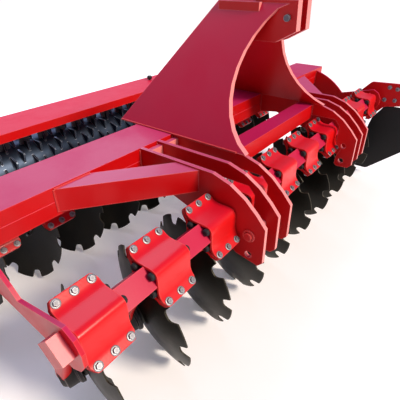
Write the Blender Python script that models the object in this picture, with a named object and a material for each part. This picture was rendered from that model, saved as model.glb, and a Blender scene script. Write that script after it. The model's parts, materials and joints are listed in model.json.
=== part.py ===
"""Mounted compact disc harrow, in metres: +Z up, -Y towards the tractor, the floor at Z = 0.

Two rows of notched discs hang from square row tubes on rubber-cord arms, and a toothed packer
roller follows them. Heights marked "over the row" are measured from the front row tube's centre.
"""

import math

import bmesh
import bpy
import numpy as np
from mathutils import Matrix, Vector

SEAT_GAP = 0.0003  # between two pieces that are welded or bolted together
RUN_GAP = 0.0005  # between a turning face and the face that carries it

# Rows of arms
ARM_PITCH = 0.25
ARMS_PER_ROW = 10
ROW_SHIFT = 0.035  # the front row stands this far to -X, and the rear row to +X
ROW_TUBE_SIDE = 0.070
TUBE_OVERHANG = 0.050  # of a row tube past its last clamp
FRONT_TUBE_HEIGHT = 0.560  # of the front row tube's centre over the floor
REAR_ROW_BACK = 0.712  # from the front row tube to the rear one
REAR_ROW_DROP = 0.090

# Rubber-cord clamps and arms
CLAMP_WALL = 0.003  # left outside the row tube's corners
CLAMP_SIDE = 2 * (ROW_TUBE_SIDE * math.sqrt(0.5) + CLAMP_WALL)
CLAMP_LENGTH = 0.140
FLANGE_REACH = 0.104  # from the row tube's centre to a flange's tip
FLANGE_THICKNESS = 0.024
FRONT_HUB_BACK = 0.150  # from the row tube back to the disc's centre
REAR_HUB_BACK = 0.258
ARM_OFFSET = 0.045  # of the trailing arm to the disc's convex side of its clamp
ARM_WIDTH = 0.030
ARM_DEPTH = 0.055
HUB_RADIUS = 0.048
HUB_LENGTH = 0.055
HUB_SIDES = 12

# Discs
DISC_RADIUS = 0.255
DISC_THICKNESS = 0.006
DISC_DISH = 0.050
DISC_OFFSET = 0.0165  # of the disc's centre from its clamp's middle
DISC_ANGLE = math.radians(17.0)
DISC_TILT = math.radians(8.0)
NOTCHES = 10
NOTCH_DEPTH = 0.034
TOOTH_SHARE = 0.60  # of each notch's pitch that is rim
BOSS_RADIUS = 0.040
BOSS_THICKNESS = 0.012

# Main beam
BEAM_PAST = 0.028  # of each end past the outermost hanger
BEAM_DEPTH = 0.205
BEAM_HEIGHT = 0.104
BEAM_BACK = 0.397  # of its front face from the front row tube
BEAM_TOP = 0.156  # over the row

# Side plates, from the main beam down to the front row tube
SIDE_PLATE_OUT = (0.010, 0.040)  # of their middles past the front row's last clamps, at -X and +X
SIDE_PLATE_THICKNESS = 0.012
SIDE_ARC_RADIUS = 0.422
SIDE_LUG_RADIUS = 0.075

# Hangers, from the main beam down to the rear row tube
HANGER_OUT = (0.035, 0.032)  # of the outer two past the rear row's last clamps, at -X and +X
HANGER_AFTER = (3, 7)  # the inner two stand midway after these arms
HANGER_THICKNESS = 0.020

# Lower hitch: three plates a side
HITCH_SPREAD = 0.870  # between the two lower link balls
HITCH_PITCH = 0.0957
HITCH_PLATE = 0.016
HITCH_NOSE = -0.168  # its front edge, from the row tube
PIN_RADIUS = 0.014
UPPER_PIN = (-0.108, -0.035)
LOWER_PIN = (-0.110, -0.118)
CROSS_TUBE_DEPTH = 0.080
CROSS_TUBE_HEIGHT = 0.072
CROSS_TUBE_BACK = 0.090
BRACE_SIDE = 0.085
BRACE_FOOT_X = 0.900  # of its middle on the main beam
BRACE_HEAD_BACK = 0.160  # of its middle on the hitch plate

# Tower
TOWER_LEAN = math.radians(35.0)
TOWER_PLATE = 0.020
TOWER_HEIGHT = 0.650  # of its top over the row
TOWER_TOP_BACK = (0.055, 0.400)
TOWER_FOOT_END = 0.711
TOWER_ARC = (-0.081, 0.420, 0.288)  # centre and radius of the hollow front edge
CLEVIS_GAP = 0.052
CLEVIS_PLATE = 0.018
TOP_LINK = (0.085, 0.590)

# Packer roller and its frame
PIVOT_BACK = 0.690
PIVOT_UP = 0.100  # over the row
PIVOT_RADIUS = 0.0125
PIVOT_X = 1.090
ROLLER_ARM_WIDTH = 0.050
ROLLER_ARM_DEPTH = 0.076
EAR_THICKNESS = 0.012
ROLLER_BACK = 1.600
ROLLER_RADIUS = 0.250
ROLLER_CORE = 0.200
ROLLER_LENGTH = 2.50
RING_PITCH = 0.125
RINGS = 20
RING_WIDTH = 0.024
ROLLER_SIDES = 16  # a multiple of four, so that a flat side stands on the floor
ROLLER_STUB = 0.030
CHANNEL_LEAD = 0.310  # of its front edge ahead of the roller's axle
CHANNEL_FRONT = ROLLER_BACK - CHANNEL_LEAD
CHANNEL_DEPTH = 0.280
CHANNEL_HEIGHT = 0.046
CHANNEL_TOP = 0.034  # over the row
END_PLATE = 0.014
SCRAPER_WIDTH = 0.050
SCRAPER_GAP = 0.006

# Side deflectors, at the open end of each row: a red bracket and the black plate bolted to it
DEFLECTOR_PLATE = 0.006
DEFLECTOR_OUT = 0.070  # past the row tube's end
DEFLECTOR_FRONT = -0.340
DEFLECTOR_TOP = -0.040
DEFLECTOR_LIFT = 0.030  # of its lower edge over the floor
BRACKET_PLATE = 0.012
BRACKET_BAR = 0.080
BRACKET = ((-0.200, 0.118), (-0.200, -0.028), (-0.097, -0.046), (-0.031, -0.120), (0.035, -0.152),
           (0.159, -0.049), (0.020, 0.107))  # its outline from the row tube

# The frame's origin is on the floor under the middle of the whole machine.
HALF_PITCH = ARM_PITCH / 2
ROLLER_UP = ROLLER_RADIUS * math.cos(math.pi / ROLLER_SIDES)
ORIGIN_BACK = (min(HITCH_NOSE, DEFLECTOR_FRONT) + ROLLER_BACK + ROLLER_UP) / 2

RED = (0.60, 0.012, 0.016)
BLACK = (0.012, 0.012, 0.013)
STEEL_BLUE = (0.055, 0.075, 0.105)


def place(y, z):
    """A point given from the front row tube, in the machine's own frame."""
    return y - ORIGIN_BACK, z + FRONT_TUBE_HEIGHT


def material(name, colour, roughness, metallic):
    made = bpy.data.materials.new(name)
    made.use_nodes = True
    shader = made.node_tree.nodes["Principled BSDF"]
    shader.inputs["Base Color"].default_value = (*colour, 1.0)
    shader.inputs["Roughness"].default_value = roughness
    shader.inputs["Metallic"].default_value = metallic
    return made


def object_from(name, mesh, finish, location=(0.0, 0.0, 0.0)):
    made = bpy.data.objects.new(name, mesh)
    made.location = location
    bpy.context.collection.objects.link(made)
    if not mesh.materials:
        mesh.materials.append(finish)
    return made


def mesh_from(name, points, faces):
    mesh = bpy.data.meshes.new(name)
    mesh.from_pydata([tuple(p) for p in points], [], [tuple(f) for f in faces])
    work = bmesh.new()
    work.from_mesh(mesh)
    bmesh.ops.recalc_face_normals(work, faces=work.faces)
    work.to_mesh(mesh)
    work.free()
    return mesh


def loft(name, loops):
    """A closed solid through loops of equally many points, capped at both ends."""
    count = len(loops[0])
    points = [p for loop in loops for p in loop]
    faces = [tuple(range(count)), tuple(range(len(points) - count, len(points)))]
    for k in range(len(loops) - 1):
        for i in range(count):
            j = (i + 1) % count
            faces.append((k * count + i, k * count + j, (k + 1) * count + j, (k + 1) * count + i))
    return mesh_from(name, points, faces)


def slab(name, outline, x_low, x_high):
    """An outline in the plane of travel, given from the row tube, as a plate between two X."""
    sides = [[(x, *place(y, z)) for y, z in outline] for x in (x_low, x_high)]
    return loft(name, sides)


def bar(name, x_low, x_high, y_low, y_high, z_low, z_high):
    return slab(name, [(y_low, z_low), (y_high, z_low), (y_high, z_high), (y_low, z_high)], x_low, x_high)


def arc(centre, radius, start, end, steps):
    turns = [start + (end - start) * i / steps for i in range(steps + 1)]
    return [(centre[0] + radius * math.cos(t), centre[1] + radius * math.sin(t)) for t in turns]


def ring(centre, axis, radius, sides, turn=0.0):
    """The corners of a regular polygon about an axis."""
    side = axis.orthogonal().normalized()
    other = axis.cross(side)
    angles = [turn + 2 * math.pi * i / sides for i in range(sides)]
    return [centre + radius * (math.cos(a) * side + math.sin(a) * other) for a in angles]


def round_bar(name, start, end, radius, sides=HUB_SIDES):
    start, end = Vector(start), Vector(end)
    axis = (end - start).normalized()
    return loft(name, [ring(start, axis, radius, sides), ring(end, axis, radius, sides)])


def combined(name, meshes, cutters=()):
    """One closed body: the union of some meshes, less the cutters."""
    base = bpy.data.objects.new(name, meshes[0])
    bpy.context.collection.objects.link(base)
    helpers = []
    steps = [(m, "UNION") for m in meshes[1:]] + [(m, "DIFFERENCE") for m in cutters]
    for mesh, operation in steps:
        helper = bpy.data.objects.new(name + "_helper", mesh)
        helper.hide_render = True
        helper.display_type = "WIRE"
        bpy.context.collection.objects.link(helper)
        helpers.append(helper)
        step = base.modifiers.new(operation.lower(), "BOOLEAN")
        step.operation = operation
        step.object = helper
    graph = bpy.context.evaluated_depsgraph_get()
    result = bpy.data.meshes.new_from_object(base.evaluated_get(graph))
    result.name = name
    for helper in [base, *helpers]:
        bpy.data.objects.remove(helper)
    return result


def smooth(mesh, angle=35.0):
    mesh.shade_smooth()
    mesh.set_sharp_from_angle(angle=math.radians(angle))
    return mesh


def arm_places(side):
    """The X of each clamp's middle; side is -1 for the front row and +1 for the rear row."""
    first = side * ROW_SHIFT - (ARMS_PER_ROW - 1) * HALF_PITCH
    return [first + ARM_PITCH * k for k in range(ARMS_PER_ROW)]


def clamp_ends(side):
    """The outer faces of a row's first and last clamps."""
    places = arm_places(side)
    return places[0] - CLAMP_LENGTH / 2, places[-1] + CLAMP_LENGTH / 2


def row_ends(side):
    low, high = clamp_ends(side)
    return low - TUBE_OVERHANG, high + TUBE_OVERHANG


def side_plate_places():
    low, high = clamp_ends(-1)
    return low - SIDE_PLATE_OUT[0], high + SIDE_PLATE_OUT[1]


def hanger_places():
    low, high = clamp_ends(1)
    inner = [arm_places(1)[after - 1] + HALF_PITCH for after in HANGER_AFTER]
    return [low - HANGER_OUT[0], *inner, high + HANGER_OUT[1]]


def disc_axis(side):
    """The disc's axis, out of its hollow face. The front row's discs face +X and the rear row's -X."""
    flat = math.cos(DISC_TILT)
    return Vector((-side * flat * math.cos(DISC_ANGLE), -flat * math.sin(DISC_ANGLE), math.sin(DISC_TILT)))


def disc_turn(side):
    """The rotation from a disc lying flat, hollow face up, to its place on the machine."""
    up = disc_axis(side)
    level = Vector((0.0, 0.0, 1.0)).cross(up).normalized()
    return Matrix((level, up.cross(level), up)).transposed()


def notched_outline():
    """Radius and angle of the rim's corners: each tooth keeps the rim, each notch is hollow."""
    pitch = 2 * math.pi / NOTCHES
    tooth = pitch * TOOTH_SHARE
    corners = []
    for k in range(NOTCHES):
        middle = pitch * k + math.pi / 2
        corners.append((DISC_RADIUS, middle - tooth / 2))
        corners.append((DISC_RADIUS, middle + tooth / 2))
        for share in (0.25, 0.75):
            corners.append((DISC_RADIUS - NOTCH_DEPTH, middle + tooth / 2 + (pitch - tooth) * share))
    return corners


def dish_height(radius):
    return DISC_DISH * (radius / DISC_RADIUS) ** 2


def disc_mesh(side):
    """A dished, notched disc with its flat boss, turned to its angle about its own centre."""
    outline = notched_outline()
    count = len(outline)
    middles = [2 * math.pi * k / NOTCHES + math.pi / 2 for k in range(NOTCHES)]
    rings = [outline, [(DISC_RADIUS * 0.55, a) for a in middles], [(BOSS_RADIUS, a) for a in middles]]
    points = []
    for level in (DISC_THICKNESS / 2, -DISC_THICKNESS / 2):
        for loop in rings:
            points += [(r * math.cos(a), r * math.sin(a), dish_height(r) + level) for r, a in loop]
    half = len(points) // 2
    points += [(BOSS_RADIUS * math.cos(a), BOSS_RADIUS * math.sin(a), -BOSS_THICKNESS) for a in middles]
    faces = [tuple(count + NOTCHES + k for k in range(NOTCHES)), tuple(2 * half + k for k in range(NOTCHES))]
    for k in range(NOTCHES):
        j = (k + 1) % NOTCHES
        for base in (0, half):
            rim = [base + (4 * k + i) % count for i in range(5)]
            inner, onward = base + count + k, base + count + j
            faces.append((rim[0], rim[1], inner))
            faces.append((*rim[1:], onward, inner))
            faces.append((inner, onward, onward + NOTCHES, inner + NOTCHES))
        root = half + count + NOTCHES
        faces.append((root + k, root + j, 2 * half + j, 2 * half + k))
    for i in range(count):
        j = (i + 1) % count
        faces.append((i, half + i, half + j, j))
    mesh = mesh_from("disc", points, faces)
    mesh.transform(disc_turn(side).to_4x4())
    return mesh


def hub_height(mesh):
    """The disc's centre over the floor, with its lowest tooth standing on the floor."""
    return -min(v.co.z for v in mesh.vertices)


def clamp_outline():
    """The clamp's outer shape across the tube: a square with bolted flanges on two corners."""
    half = CLAMP_SIDE / 2
    tip = FLANGE_REACH * math.sqrt(0.5)
    step = FLANGE_THICKNESS / 2 * math.sqrt(0.5)
    root = half - 2 * step
    return [
        (-half, half), (root, half), (tip - step, tip + step), (tip + step, tip - step),
        (half, root), (half, -half), (-root, -half), (-tip + step, -tip - step),
        (-tip - step, -tip + step), (-half, -root),
    ]


def tube_outline(side, gap=0.0):
    """A square tube standing on its corner."""
    reach = side * math.sqrt(0.5) + gap * math.sqrt(2.0)
    return [(reach, 0.0), (0.0, reach), (-reach, 0.0), (0.0, -reach)]


def arm_mesh(side, hub, axis):
    """A clamp at X = 0 on the row tube's line, with its trailing arm and hub, about the tube's centre."""
    across = -side
    outline = clamp_outline()
    half = CLAMP_LENGTH / 2
    body = loft("clamp", [[(x, y, z) for y, z in outline] for x in (-half, half)])
    hole = tube_outline(ROW_TUBE_SIDE, SEAT_GAP)
    cutter = loft("tube_hole", [[(x, y, z) for y, z in hole] for x in (-1.2 * half, 1.2 * half)])
    face = hub - axis * (BOSS_THICKNESS + RUN_GAP)
    back = face - axis * HUB_LENGTH
    barrel = round_bar("hub", back, face, HUB_RADIUS)
    start = Vector((-across * ARM_OFFSET, 0.30 * CLAMP_SIDE, -0.42 * CLAMP_SIDE))
    end = (back + face) / 2
    end.x = start.x
    along = (end - start).normalized()
    bend = Vector((0.0, along.z, -along.y)) * -0.020
    loops = []
    for share in (0.0, 0.35, 0.70, 1.0):
        centre = start.lerp(end, share) + bend * math.sin(math.pi * share)
        wide = Vector((ARM_WIDTH / 2, 0.0, 0.0))
        deep = Vector((0.0, along.z, -along.y)) * ARM_DEPTH / 2
        loops.append([centre + wide + deep, centre - wide + deep, centre - wide - deep, centre + wide - deep])
    leg = loft("arm", loops)
    return combined("arm", [body, leg, barrel], [cutter])


def add_row(label, side, tube_back, tube_up, hub_back, red, black):
    """One row's arms and discs."""
    disc = smooth(disc_mesh(side), 20.0)
    axis = disc_axis(side)
    centre_up = hub_height(disc)
    tube_y, tube_z = place(tube_back, tube_up)
    hub = Vector((-side * DISC_OFFSET, hub_back, centre_up - tube_z))
    arm = smooth(arm_mesh(side, hub, axis))
    for number, x in enumerate(arm_places(side), 1):
        object_from(f"{label}_arm_{number:02d}", arm, red, (x, tube_y, tube_z))
        object_from(f"{label}_disc_{number:02d}", disc, black, (x + hub.x, tube_y + hub.y, tube_z + hub.z))


def add_front_tube(red):
    """The front row tube with the two curved plates that hang it from the main beam."""
    low, high = row_ends(-1)
    meshes = [slab("row_tube", tube_outline(ROW_TUBE_SIDE), low, high)]
    beam_foot = BEAM_TOP - BEAM_HEIGHT - SEAT_GAP
    outer = SIDE_ARC_RADIUS
    centre = (BEAM_BACK + BEAM_DEPTH / 2, BEAM_TOP - outer)
    front = BEAM_BACK - SEAT_GAP
    top = math.pi - math.acos((centre[0] - front) / outer)
    low_turn = math.pi - math.asin((0.02 - centre[1]) / outer)
    edge = arc(centre, outer, top, low_turn, 6)
    lug = arc((0.0, 0.0), SIDE_LUG_RADIUS, math.pi / 2 + 0.25, 2 * math.pi - 0.75, 7)
    outline = [*edge, *lug, (BEAM_BACK, beam_foot - 0.060), (centre[0], beam_foot), (front, beam_foot)]
    for x in side_plate_places():
        half = SIDE_PLATE_THICKNESS / 2
        meshes.append(slab("side_plate", outline, x - half, x + half))
    object_from("front_row_tube", combined("front_row_tube", meshes), red)


def add_rear_tube(red):
    """The rear row tube with the plates that hang it under the main beam."""
    low, high = row_ends(1)
    tube = [(y + REAR_ROW_BACK, z - REAR_ROW_DROP) for y, z in tube_outline(ROW_TUBE_SIDE)]
    meshes = [slab("row_tube", tube, low, high)]
    under = BEAM_TOP - BEAM_HEIGHT - SEAT_GAP
    lug = arc((REAR_ROW_BACK, -REAR_ROW_DROP), SIDE_LUG_RADIUS, -1.9, 0.9, 6)
    outline = [*lug, (BEAM_BACK + BEAM_DEPTH - 0.005, under), (BEAM_BACK + 0.02, under)]
    for x in hanger_places():
        meshes.append(slab("hanger", outline, x - HANGER_THICKNESS / 2, x + HANGER_THICKNESS / 2))
    object_from("rear_row_tube", combined("rear_row_tube", meshes), red)


def pivot_ears():
    """On the main beam's back, for each roller arm: two ears, the pivot pin and the stop pin."""
    meshes = []
    reach = ROLLER_ARM_WIDTH / 2 + 0.004
    back = BEAM_BACK + BEAM_DEPTH
    low, high = PIVOT_UP - 0.035, PIVOT_UP + 0.080
    stop_back = PIVOT_BACK + 0.150
    slope = roller_arm_slope()
    stop_up = PIVOT_UP + 0.150 * slope + ROLLER_ARM_DEPTH / 2 * math.hypot(1, slope) + PIVOT_RADIUS + RUN_GAP
    end = stop_back + 0.025
    outline = [(back - 0.004, low), (PIVOT_BACK + 0.035, low), (end, stop_up - 0.015), (end, stop_up + 0.025)]
    outline += [(stop_back - 0.030, high), (back - 0.004, BEAM_TOP - 0.002)]
    for x in (-PIVOT_X, PIVOT_X):
        for out in (-1, 1):
            inner = x + out * reach
            edges = sorted((inner, inner + out * EAR_THICKNESS))
            meshes.append(slab("ear", outline, *edges))
        for y, z in ((PIVOT_BACK, PIVOT_UP), (stop_back, stop_up)):
            ends = [(x + out * (reach + EAR_THICKNESS + 0.010), *place(y, z)) for out in (-1, 1)]
            meshes.append(round_bar("pin", *ends, PIVOT_RADIUS))
    return meshes


def roller_arm_slope():
    end_back, end_up = CHANNEL_FRONT, CHANNEL_TOP - CHANNEL_HEIGHT / 2
    return (end_up - PIVOT_UP) / (end_back - PIVOT_BACK)


def add_main_beam(red):
    half = max(abs(x) for x in hanger_places()) + HANGER_THICKNESS / 2 + BEAM_PAST
    beam = bar("beam", -half, half, BEAM_BACK, BEAM_BACK + BEAM_DEPTH, BEAM_TOP - BEAM_HEIGHT, BEAM_TOP)
    object_from("main_beam", combined("main_beam", [beam, *pivot_ears()]), red)


def hitch_outline(x):
    """A hitch plate: a curved nose, and, where a clamp is in its way, an underside that clears the clamp."""
    clear = CLAMP_SIDE / 2 + 0.0135
    bolts_up = 0.040
    above = 0.095
    nose = [(0.052, BEAM_TOP), (-0.020, 0.134), (-0.080, 0.098), (-0.128, 0.054), (HITCH_NOSE + 0.002, 0.011)]
    foot = [(HITCH_NOSE, -0.131), (-0.150, -0.150), (-0.092, -0.152), (-0.078, -0.142), (-0.080, -0.100)]
    throat = [(-0.0985, bolts_up - 0.0985), (-clear, bolts_up - clear), (-clear, 0.066), (-0.040, above)]
    tail = [(0.120, above), (BEAM_BACK - SEAT_GAP, BEAM_TOP - BEAM_HEIGHT + 0.004)]
    if between_clamps(x):
        foot[2:] = [(-0.060, -0.134), (-0.020, -0.104), (0.066, -0.051)]
        throat, tail = [], tail[1:]
    return [*nose, *foot, *throat, *tail, (BEAM_BACK - SEAT_GAP, BEAM_TOP)]


def between_clamps(x):
    """Whether a hitch plate stands in a gap between the front row's clamps."""
    return min(abs(x - arm) for arm in arm_places(-1)) > (CLAMP_LENGTH + HITCH_PLATE) / 2


def hitch_places():
    """X of the three hitch plates on the +X side, inner one first."""
    inner = HITCH_SPREAD / 2 - HITCH_PITCH / 2
    return [inner + HITCH_PITCH * k for k in range(3)]


def brace_mesh(side):
    """The square brace from the main beam's front face to the outer hitch plate."""
    head_x = hitch_places()[2] + HITCH_PLATE / 2
    foot = Vector((side * BRACE_FOOT_X, BEAM_BACK - SEAT_GAP))
    head = Vector((side * (head_x - 0.004), BRACE_HEAD_BACK))
    along = (head - foot).normalized()
    reach = BRACE_SIDE / 2
    low = BEAM_TOP - BEAM_HEIGHT + 0.012
    slide_foot = Vector((side * reach / abs(along.y), 0.0))
    slide_head = Vector((0.0, reach / abs(along.x)))
    loop = [foot - slide_foot, foot + slide_foot, head - slide_head, head + slide_head]
    levels = []
    for up in (low, low + BRACE_SIDE):
        levels.append([(p.x, *place(p.y, up)) for p in loop])
    return loft("brace", levels)


def add_hitch(side, name, red):
    """Three plates, the welded spacers between them, the upper pin and the brace."""
    meshes = []
    cutters = []
    places = [side * x for x in hitch_places()]
    half = HITCH_PLATE / 2
    for x in places:
        meshes.append(slab("plate", hitch_outline(x), x - half, x + half))
        if between_clamps(x):
            hole = tube_outline(ROW_TUBE_SIDE, SEAT_GAP)
            cutters.append(slab("tube_hole", hole, x - 2 * half, x + 2 * half))
    ends = sorted((places[0], places[2]))
    spacer = [BEAM_BACK - 0.030, BEAM_BACK - 0.010, BEAM_TOP - BEAM_HEIGHT + 0.020, BEAM_TOP - 0.012]
    meshes.append(bar("spacer", *ends, *spacer))
    pin_ends = sorted((places[1] - side * half, places[2] + side * (half + 0.010)))
    meshes.append(round_bar("pin", *[(x, *place(*UPPER_PIN)) for x in pin_ends], PIN_RADIUS))
    meshes.append(brace_mesh(side))
    hole_ends = [(x, *place(*LOWER_PIN)) for x in (ends[0] - 0.05, ends[1] + 0.05)]
    cutters.append(round_bar("lower_hole", *hole_ends, PIN_RADIUS))
    ball_ends = [(side * x, *place(*UPPER_PIN)) for x in (hitch_places()[0] - 0.05, hitch_places()[0] + 0.05)]
    cutters.append(round_bar("upper_hole", *ball_ends, PIN_RADIUS))
    object_from(name, combined(name, meshes, cutters), red)


def add_cross_tube(red):
    reach = hitch_places()[0] - HITCH_PLATE / 2 - SEAT_GAP
    top = BEAM_TOP - 0.006
    mesh = bar("hitch_cross_tube", -reach, reach, CROSS_TUBE_BACK, CROSS_TUBE_BACK + CROSS_TUBE_DEPTH,
               top - CROSS_TUBE_HEIGHT, top)
    object_from("hitch_cross_tube", mesh, red)


def tower_outline(foot, top):
    """The tower plate's edge, its hollow front an arc."""
    centre_back, centre_up, radius = TOWER_ARC
    low = math.asin((foot - centre_up) / radius)
    high = math.asin(min(0.95, (top - 0.03 - centre_up) / radius))
    front = arc((centre_back, centre_up), radius, low, high, 10)
    return [*front, (TOWER_TOP_BACK[0], top), (TOWER_TOP_BACK[1], top), (TOWER_FOOT_END, foot)]


def tower_mesh():
    """Two plates that lean inwards from the inner hitch plates and carry the top link's clevis."""
    foot = BEAM_TOP + SEAT_GAP
    start = hitch_places()[0]
    lean = math.tan(TOWER_LEAN)
    wide = TOWER_PLATE / 2 / math.cos(TOWER_LEAN)
    outline = tower_outline(foot, TOWER_HEIGHT)
    meshes = []
    for side in (-1, 1):
        loops = []
        for out in (-wide, wide):
            loops.append([(side * (start + out - (z - foot) * lean), *place(y, z)) for y, z in outline])
        meshes.append(loft("tower_plate", loops))
    clevis = [(0.045, 0.545), (0.130, 0.500), (0.230, 0.500), (0.230, TOWER_HEIGHT), (0.050, TOWER_HEIGHT)]
    for side in (-1, 1):
        edges = sorted(side * x for x in (CLEVIS_GAP / 2, CLEVIS_GAP / 2 + CLEVIS_PLATE * 2))
        meshes.append(slab("clevis", clevis, *edges))
    reach = start - (TOWER_HEIGHT - 0.060 - foot) * lean
    meshes.append(bar("tower_cap", -reach, reach, 0.200, TOWER_TOP_BACK[1] - 0.010, TOWER_HEIGHT - 0.075,
                      TOWER_HEIGHT - 0.010))
    ends = [(x, *place(*TOP_LINK)) for x in (-0.15, 0.15)]
    return combined("tower", meshes, [round_bar("top_hole", *ends, 0.0128)])


def add_roller_frame(red):
    """The channel over the roller with its two arms, end plates and scrapers."""
    half = ROLLER_LENGTH / 2 + RUN_GAP + END_PLATE
    low = CHANNEL_TOP - CHANNEL_HEIGHT
    meshes = [bar("channel", -half, half, CHANNEL_FRONT, CHANNEL_FRONT + CHANNEL_DEPTH, low, CHANNEL_TOP)]
    slope = roller_arm_slope()
    reach = ROLLER_ARM_DEPTH / 2 * math.hypot(1, slope)
    turn = math.atan(slope)
    eye = arc((PIVOT_BACK, PIVOT_UP), ROLLER_ARM_DEPTH / 2, turn + math.pi / 2, turn + 1.5 * math.pi, 6)
    end_up = CHANNEL_TOP - CHANNEL_HEIGHT / 2
    join = CHANNEL_FRONT + 0.010
    outline = [*eye, (join, end_up - reach), (join + 0.050, CHANNEL_TOP), (join, end_up + reach)]
    cutters = []
    for x in (-PIVOT_X, PIVOT_X):
        edges = (x - ROLLER_ARM_WIDTH / 2, x + ROLLER_ARM_WIDTH / 2)
        meshes.append(slab("roller_arm", outline, *edges))
        ends = [(x + out * ROLLER_ARM_WIDTH, *place(PIVOT_BACK, PIVOT_UP)) for out in (-1, 1)]
        cutters.append(round_bar("eye", *ends, PIVOT_RADIUS / math.cos(math.pi / HUB_SIDES) + RUN_GAP))
    roller_up = ROLLER_UP - FRONT_TUBE_HEIGHT
    shoe = arc((ROLLER_BACK, roller_up), 0.070, -0.75 * math.pi, 0.10 * math.pi, 6)
    side_outline = [(CHANNEL_FRONT + 0.05, low + 0.004), *shoe, (CHANNEL_FRONT + CHANNEL_DEPTH, low + 0.004)]
    for side in (-1, 1):
        edges = sorted((side * (half - END_PLATE), side * half))
        meshes.append(slab("end_plate", side_outline, *edges))
    y = CHANNEL_FRONT + CHANNEL_DEPTH - 0.060
    core = roller_up + math.sqrt(ROLLER_CORE**2 - (ROLLER_BACK - y) ** 2)
    for k in range(RINGS - 1):
        x = (k - (RINGS - 2) / 2) * RING_PITCH
        meshes.append(bar("scraper", x - SCRAPER_WIDTH / 2, x + SCRAPER_WIDTH / 2, y, y + 0.008,
                          core + SCRAPER_GAP, low + 0.004))
    object_from("roller_frame", combined("roller_frame", meshes, cutters), red)


def add_roller(steel):
    """The drum, turned about its axis, with its rings of teeth as plain fins."""
    half = ROLLER_LENGTH / 2
    profile = [(-half, ROLLER_STUB), (-half + 0.016, ROLLER_STUB), (-half + 0.016, ROLLER_CORE)]
    for k in range(RINGS):
        x = (k - (RINGS - 1) / 2) * RING_PITCH
        profile += [(x - RING_WIDTH / 2, ROLLER_CORE), (x, ROLLER_RADIUS), (x + RING_WIDTH / 2, ROLLER_CORE)]
    profile += [(half - 0.016, ROLLER_CORE), (half - 0.016, ROLLER_STUB), (half, ROLLER_STUB)]
    loops = []
    for x, radius in profile:
        centre = Vector((x, 0.0, 0.0))
        turns = [2 * math.pi * (i + 0.5) / ROLLER_SIDES - math.pi / 2 for i in range(ROLLER_SIDES)]
        loops.append([centre + radius * Vector((0.0, math.cos(t), math.sin(t))) for t in turns])
    mesh = smooth(loft("roller_drum", loops))
    y, _ = place(ROLLER_BACK, 0.0)
    object_from("roller_drum", mesh, steel, (0.0, y, ROLLER_UP))


def add_deflector(side, name, row_back, row_up, black):
    """The soil deflector past a row's open end, on its bracket from the row tube."""
    toward = -side
    end = row_ends(side)[1] if side < 0 else row_ends(side)[0]
    x = end + toward * DEFLECTOR_OUT
    front = row_back + DEFLECTOR_FRONT
    low = DEFLECTOR_LIFT - FRONT_TUBE_HEIGHT
    top = row_up + DEFLECTOR_TOP
    plate = [(front, top), (row_back - 0.100, top), (row_back - 0.033, top - 0.102), (row_back + 0.040, low + 0.030),
             (row_back + 0.025, low), (row_back - 0.080, low), (row_back - 0.300, low + 0.200), (front, low + 0.270)]
    meshes = [slab("deflector", plate, *sorted((x, x + toward * DEFLECTOR_PLATE)))]
    bracket = [(y + row_back, z + row_up) for y, z in BRACKET]
    meshes.append(slab("bracket", bracket, *sorted((x - toward * BRACKET_PLATE, x + toward * DEFLECTOR_PLATE / 2))))
    edges = sorted((end + toward * SEAT_GAP, x - toward * BRACKET_PLATE / 2))
    reach = BRACKET_BAR / 2
    meshes.append(bar("bracket_bar", *edges, row_back - reach, row_back + reach, row_up - reach, row_up + reach))
    object_from(name, combined(name, meshes), black)


def build():
    for old in list(bpy.data.objects):
        bpy.data.objects.remove(old)
    red = material("red_paint", RED, 0.35, 0.0)
    black = material("black_paint", BLACK, 0.45, 0.2)
    steel = material("roller_steel", STEEL_BLUE, 0.40, 0.7)
    add_main_beam(red)
    add_front_tube(red)
    add_rear_tube(red)
    add_hitch(-1, "left_hitch", red)
    add_hitch(1, "right_hitch", red)
    add_cross_tube(red)
    object_from("tower", tower_mesh(), red)
    add_row("front", -1, 0.0, 0.0, FRONT_HUB_BACK, red, black)
    add_row("rear", 1, REAR_ROW_BACK, -REAR_ROW_DROP, REAR_HUB_BACK, red, black)
    add_deflector(-1, "right_deflector", 0.0, 0.0, black)
    add_deflector(1, "left_deflector", REAR_ROW_BACK, -REAR_ROW_DROP, black)
    add_roller_frame(red)
    add_roller(steel)


build()
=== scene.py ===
# %% [markdown]
# # A mounted disc harrow, dressed for the camera
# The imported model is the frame: it fixes every size and every joint. This script keeps the plates
# and tubes whose shape is right, and replaces the clamps, arms, discs, roller and deflectors by
# finer pieces that ride on the same bodies. Lengths are in metres, +Z is up, -Y is forwards.

# %% Load the frame
import json
import math

import bmesh
import bpy
import numpy as np
from mathutils import Matrix, Vector


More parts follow.
